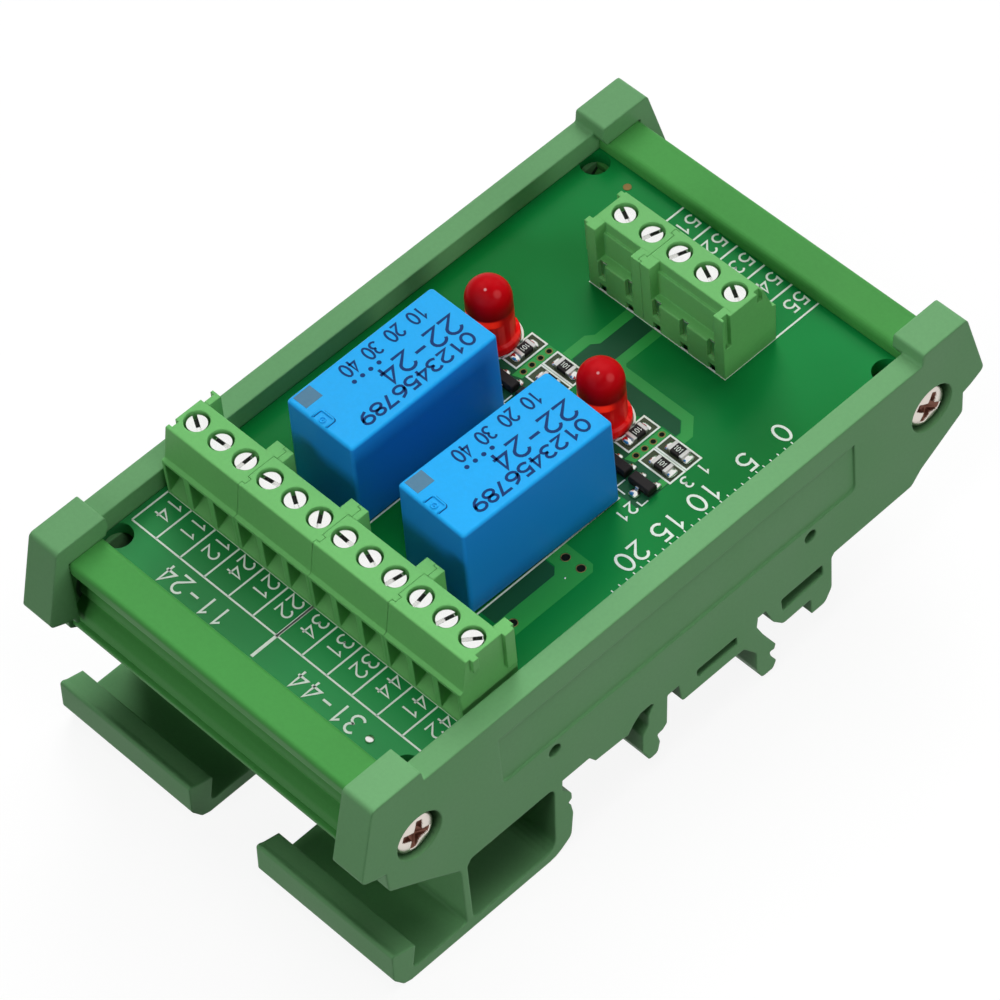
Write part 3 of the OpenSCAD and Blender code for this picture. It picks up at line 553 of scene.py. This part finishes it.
# Relays: two sealed relays, each a blue moulded cover over a dark base. The cover has rolled
# edges, a vent nib in a small tab at one end, a grey coding patch and dark blue printing; its walls
# carry painted shade, and a dark blue line beside the tab is a painted shadow.
def rounded(half_wide, half_long, radius):
    """Counterclockwise rectangle with quarter circles at its corners; a point stands close beside
    each arc, so that the flat sides stay flat when they are shaded."""
    turn = np.radians(np.linspace(0, 90, 5))
    quarter = np.stack([np.cos(turn), np.sin(turn)], 1) * radius
    quarter = np.r_[quarter[:1] - [0, 0.04], quarter, quarter[-1:] - [0.04, 0]]
    first = quarter + [half_wide - radius, half_long - radius]
    second = first[::-1] * [-1, 1]
    return np.concatenate([first, second, -first, -second])

def shell(levels, radius):
    """Closed box: levels are (height, half width, half length) from the bottom up."""
    return tube(np.stack([lifted(rounded(wide, long, radius)[::-1], z) for z, wide, long in levels]))

def placed(shapes, x, y, turn):
    """Shapes turned about Z by an angle in degrees and set down at (x, y)."""
    turn = np.radians(turn)
    spin = np.array([[np.cos(turn), np.sin(turn), 0], [-np.sin(turn), np.cos(turn), 0], [0, 0, 1]])
    return [(points @ spin + [x, y, 0], quads, ends) for points, quads, ends in shapes]

def painted_wall_shade(tree):
    """1 on upright faces, 0 on faces that look up: painted shade makes the walls darker and bluer than the
    top.
    """
    up = node(tree, "SeparateXYZ", {0: node(tree, "NewGeometry").outputs["Normal"]}).outputs["Z"]
    return graded(tree, up, 0.8, 0.2)

# Painted shade: the walls take a darker, bluer copy of the cover's colour.
relay_blue = plastic("relay_blue", paint(30, 163, 232), rough=0.4, radius=0.0001, spec=0.2, mask=painted_wall_shade,
                     over=paint(28, 134, 220))
relay_ink_and_shadow = plastic("relay_ink_and_shadow", paint(22, 52, 104), rough=0.5, radius=0.00002, light=1.0)
patch_grey = plastic("coding_patch", paint(80, 122, 148), rough=0.25, radius=0.00002, light=1.0)
relay_dark = plastic("relay_base", paint(20, 40, 90))
dress(["relay_base_left", "relay_base_right"], relay_dark)
half_wide, half_long, rim = 4.65, 9.8, 0.32
vent = (-0.18, -9.07)
tab = [(0.74, -9.5)] + arc(0.44, -8.6, 0.3, 0.3, 0, 90, 5)
tab += arc(-0.92, -8.6, 0.3, 0.3, 90, 180, 5) + [(-1.22, -9.5)]
for side, turn in (("left", 0.0), ("right", -1.4)):
    low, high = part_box("relay_cover_" + side)
    x, y = (low.x + high.x) / 2 / mm, (low.y + high.y) / 2 / mm
    top = (high.z - board_top) / mm
    levels = [(0.4, 4.74, 9.9), (0.45, 4.75, 9.9), (top - rim - 0.05, half_wide, half_long)]
    for a in np.radians(np.linspace(0, 90, 6)):
        inset = rim - rim * np.cos(a)
        levels.append((top - rim + rim * np.sin(a), half_wide - inset, half_long - inset))
    levels += [(top, half_wide - rim - 0.03, half_long - rim - 0.03)]
    cover = [shell(levels, 0.4), ribbon(tab, 0.16, top - 0.05, top + 0.12),
             ribbon(circle(*vent, 0.32, 20), 0.12, top - 0.05, top + 0.1, True),
             slab(circle(*vent, 0.1, 12), top - 0.05, top + 0.07)]
    piece("relay_shell_" + side, placed(cover, x, y, turn), relay_blue, True,
          ("relay_cover_" + side,))
    laid_on_top = {"low": top, "high": top + 0.02}
    marks = write("0123456789", (2.06, 8.1), 1.5, 0.3, gap=1.0, wide=1.3, **laid_on_top)
    marks += write("22-24", (-0.75, 8.4), 2.3, 0.34, gap=0.9, wide=1.15, **laid_on_top)
    marks += write("10 20 30 40", (-3.8, 7.1), 1.65, 0.24, gap=0.61, wide=0.76, **laid_on_top)
    # Painted shadow: a dark blue line beside the raised tab, shifted 0.1 mm off it.
    marks += [ribbon(np.array(tab) + (0.1, 0.1), 0.12, **laid_on_top)]
    marks += [slab(circle(-1.4, -0.4 - 1.1 * i, 0.26, 14), **laid_on_top) for i in range(4)]
    piece("relay_marks_" + side, placed(marks, x, y, turn), relay_ink_and_shadow)
    patch = [slab([(-4.3, -9.15), (-2.4, -9.15), (-2.4, -6.97), (-4.3, -6.97)], top, top + 0.015)]
    piece("relay_patch_" + side, placed(patch, x, y, turn), patch_grey)

# Lamps: 5 mm domed lamps cast in red tinted epoxy, with a collar at the foot. The epoxy's red is
# painted by height, brighter low down and with a dark band above the cup, as painted light through the
# clear casting; painted streaks and a painted band stand for light caught on the wires and cup inside,
# and the lamps carry a faint painted glow, a painted haze and two painted highlights.
lamp_height, lamp_radius, dome_centre = 8.2, 2.45, 6.0

def revolved(profile, x, y, count=56):
    """Skin of revolution: profile points (radius, height) swept round the vertical axis at (x, y)."""
    turn = -np.linspace(0, 2 * np.pi, count, endpoint=False)
    plan = np.stack([np.cos(turn), np.sin(turn)], 1)
    return tube(np.stack([lifted(plan * r + [x, y], z) for r, z in profile]))

def toward(tree, direction, start, full):
    """Mask from 0 to 1 of the surface that faces a direction, from its dot product with the normal."""
    facing = node(tree, "NewGeometry").outputs["Normal"]
    agree = node(tree, "VectorMath", {0: facing, 1: direction}, operation="DOT_PRODUCT").outputs["Value"]
    return graded(tree, agree, start, full, soft=True)

lamp_red, tree = blank("lamp_red")
where = node(tree, "TexCoord").outputs["Object"]
place = node(tree, "SeparateXYZ", {0: where}).outputs
rise = graded(tree, place["Z"], board_top, board_top + lamp_height * mm)
# Painted light by height: the ramp runs from bright red low down through a dark band to the dome's own red.
bands = node(tree, "ValToRGB", {"Fac": rise})
ramp = bands.color_ramp
ramp.elements[0].color = paint(240, 30, 30)
ramp.elements[1].color = paint(186, 6, 18)
for spot, colour in ((0.13, paint(236, 16, 18)), (0.3, paint(216, 10, 14)), (0.55, paint(196, 4, 10)),
                     (0.62, paint(116, 0, 6)), (0.72, paint(148, 0, 8)), (0.86, paint(184, 2, 14))):
    ramp.elements.new(spot).color = colour
# Painted light: stretched streaks lighten the lower body, for light caught on the wires inside.
stretch = node(tree, "Mapping", {"Vector": where, "Scale": (1, 1, 0.12)}).outputs[0]
painted_streaks = graded(tree, noise(tree, stretch, 900.0, 2.0), 0.5, 0.62, 0.0, 0.6)
painted_streaks = calc(tree, "MULTIPLY", painted_streaks, graded(tree, rise, 0.5, 0.44))
tone = mix(tree, painted_streaks, bands.outputs["Color"], paint(255, 70, 60))
# Painted light: a bright band by the cup, on the side that faces the front; it also glows.
painted_band = calc(tree, "MULTIPLY", graded(tree, rise, 0.46, 0.5, soft=True),
           graded(tree, rise, 0.62, 0.57, soft=True))
painted_band = calc(tree, "MULTIPLY", painted_band, toward(tree, (0.1, -0.99, 0.0), 0.2, 0.7))
tone = mix(tree, painted_band, tone, paint(255, 50, 30))
# Painted reflection: a haze on the dome where it faces up and to the front.
painted_haze = graded(tree, noise(tree, where, 420.0, 2.0), 0.35, 0.7)
painted_haze = calc(tree, "MULTIPLY", painted_haze, toward(tree, (0.33, -0.37, 0.87), 0.74, 0.95))
# Painted haze and two painted highlights, laid in by the direction the surface faces.
for mask, strength, colour in (
        (painted_haze, 0.32, paint(226, 70, 74)),
        (toward(tree, (0.66, -0.06, 0.75), 0.975, 0.999), 0.16, paint(255, 130, 130)),
        (toward(tree, (0.227, -0.321, 0.919), 0.996, 0.9999), 0.6, paint(255, 205, 205))):
    tone = mix(tree, calc(tree, "MULTIPLY", mask, strength), tone, colour)
# Painted glow: a weak red emission, strongest in the painted band.
shade = node(tree, "BsdfPrincipled", {
    "Base Color": tone, "Roughness": 0.3, "IOR": 1.5, "Specular IOR Level": 0.04,
    "Emission Color": mix(tree, painted_band, paint(70, 0, 0), paint(255, 36, 16)), "Emission Strength": 0.35})
node(tree, "OutputMaterial", {"Surface": shade.outputs[0]})
profile = [(2.84, 0), (2.9, 0.06), (2.9, 0.86), (2.82, 1.0), (2.52, 1.08), (2.46, 1.2), (lamp_radius, 1.5)]
profile += [(lamp_radius * np.cos(a), dome_centre + lamp_radius * np.sin(a))
            for a in np.radians(np.linspace(0, 89.5, 14))]
for side in ("left", "right"):
    low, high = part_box("led_lens_" + side)
    x, y = (low.x + high.x) / 2 / mm, (low.y + high.y) / 2 / mm
    piece("lamp_cast_" + side, [revolved(profile, x, y)], lamp_red, True, ("led_lens_" + side,))

# Chip parts: thick film resistors and two small transistors per circuit, soldered flat. The
# transistors are moulded cases with three gull wing tags of tinned metal.
chip_black = plastic("chip_black", paint(34, 32, 32), rough=0.5, radius=0.00006)
dress(["chip_resistors"], chip_black)
cases, tags = [], []
levels = [(0.15, 1.38, 0.56), (0.62, 1.45, 0.65), (0.66, 1.45, 0.65), (1.02, 1.39, 0.56), (1.1, 1.3, 0.48)]
wing = np.array([(0.5, 0.7), (0.76, 0.7), (0.86, 0.6), (0.86, 0.2), (0.95, 0.12), (1.25, 0.12), (1.25, 0),
                 (0.84, 0), (0.72, 0.12), (0.72, 0.56), (0.5, 0.58)])
for shift in circuits:
    for x, y in ((13.05, 6.1), (9.65, 6.2)):
        cases += placed([shell(levels, 0.1)], x + shift, y, 0)
        for across, side in ((-0.95, 1), (0.95, 1), (0.0, -1)):
            ends = [np.c_[np.full(len(wing), side * half), side * wing[:, 0], wing[:, 1]]
                    for half in (0.2, -0.2)]
            tags += placed([tube(np.stack(ends))], x + across + shift, y, 0)
piece("transistor_cases", cases, chip_black, False, ("transistor_bodies",))
piece("transistor_tags", tags, tin, False, ("transistor_leads",))

# Solder on top: bright mounds of tin, melted over the ends and tags of the chip parts on their
# pads, and two small drops on the board in front of them.
def mound(x, y, wide, long, high, count=20):
    """Rounded heap: superelliptic rings of exponent 3, scaled by cos t and raised by sin t."""
    turn = -np.linspace(0, 2 * np.pi, count, endpoint=False)
    plan = np.stack([np.sign(np.cos(turn)) * abs(np.cos(turn)) ** 0.67 * wide / 2,
                     np.sign(np.sin(turn)) * abs(np.sin(turn)) ** 0.67 * long / 2], 1)
    return tube(np.stack([lifted(plan * np.cos(a) + [x, y], high * np.sin(a))
                          for a in np.radians([0, 20, 40, 58, 74, 86])]))

solder_bright = metal("solder_bright", paint(236, 236, 232), rough=0.2, streak=2400.0)
heaps = [mound(x + shift, y, wide, long, high) for shift in circuits for x, y, wide, long, high in (
    (13.9, 11.6, 0.95, 1.35, 0.5), (11.35, 11.6, 0.6, 1.3, 0.35), (13.95, 9.25, 0.95, 1.35, 0.5),
    (11.4, 9.25, 0.6, 1.3, 0.35), (7.93, 9.2, 1.3, 0.95, 0.5), (7.93, 11.8, 1.3, 0.6, 0.35),
    (14.0, 7.1, 0.9, 1.0, 0.5), (12.1, 7.1, 0.8, 0.8, 0.4), (10.6, 7.2, 0.85, 0.8, 0.4),
    (8.7, 7.2, 0.85, 0.8, 0.4), (13.05, 4.95, 1.2, 1.1, 0.55), (9.65, 5.05, 1.1, 0.95, 0.5))]
heaps += [revolved([(0.5, 0), (0.48, 0.12), (0.36, 0.22), (0.02, 0.25)], 15.5, -33.1, 24),
          mound(15.4, -6.95, 0.25, 0.25, 0.1, 10)]
piece("solder_heaps", heaps, solder_bright, True)

# Chip codes: small plain numbers printed in white ink on top of the resistors, each of which is
# read along its own body.
codes = []
for shift in circuits:
    for x, y, right, up in ((12.1, 11.32, (1, 0), (0, 1)), (12.16, 8.97, (1, 0), (0, 1)),
                            (7.65, 11.0, (0, -1), (1, 0))):
        codes += write("101", (x + shift, y), 0.56, 0.07, right, up, low=0.55, high=0.565, gap=0.62, wide=0.8)
piece("chip_marks", codes, ink_white)
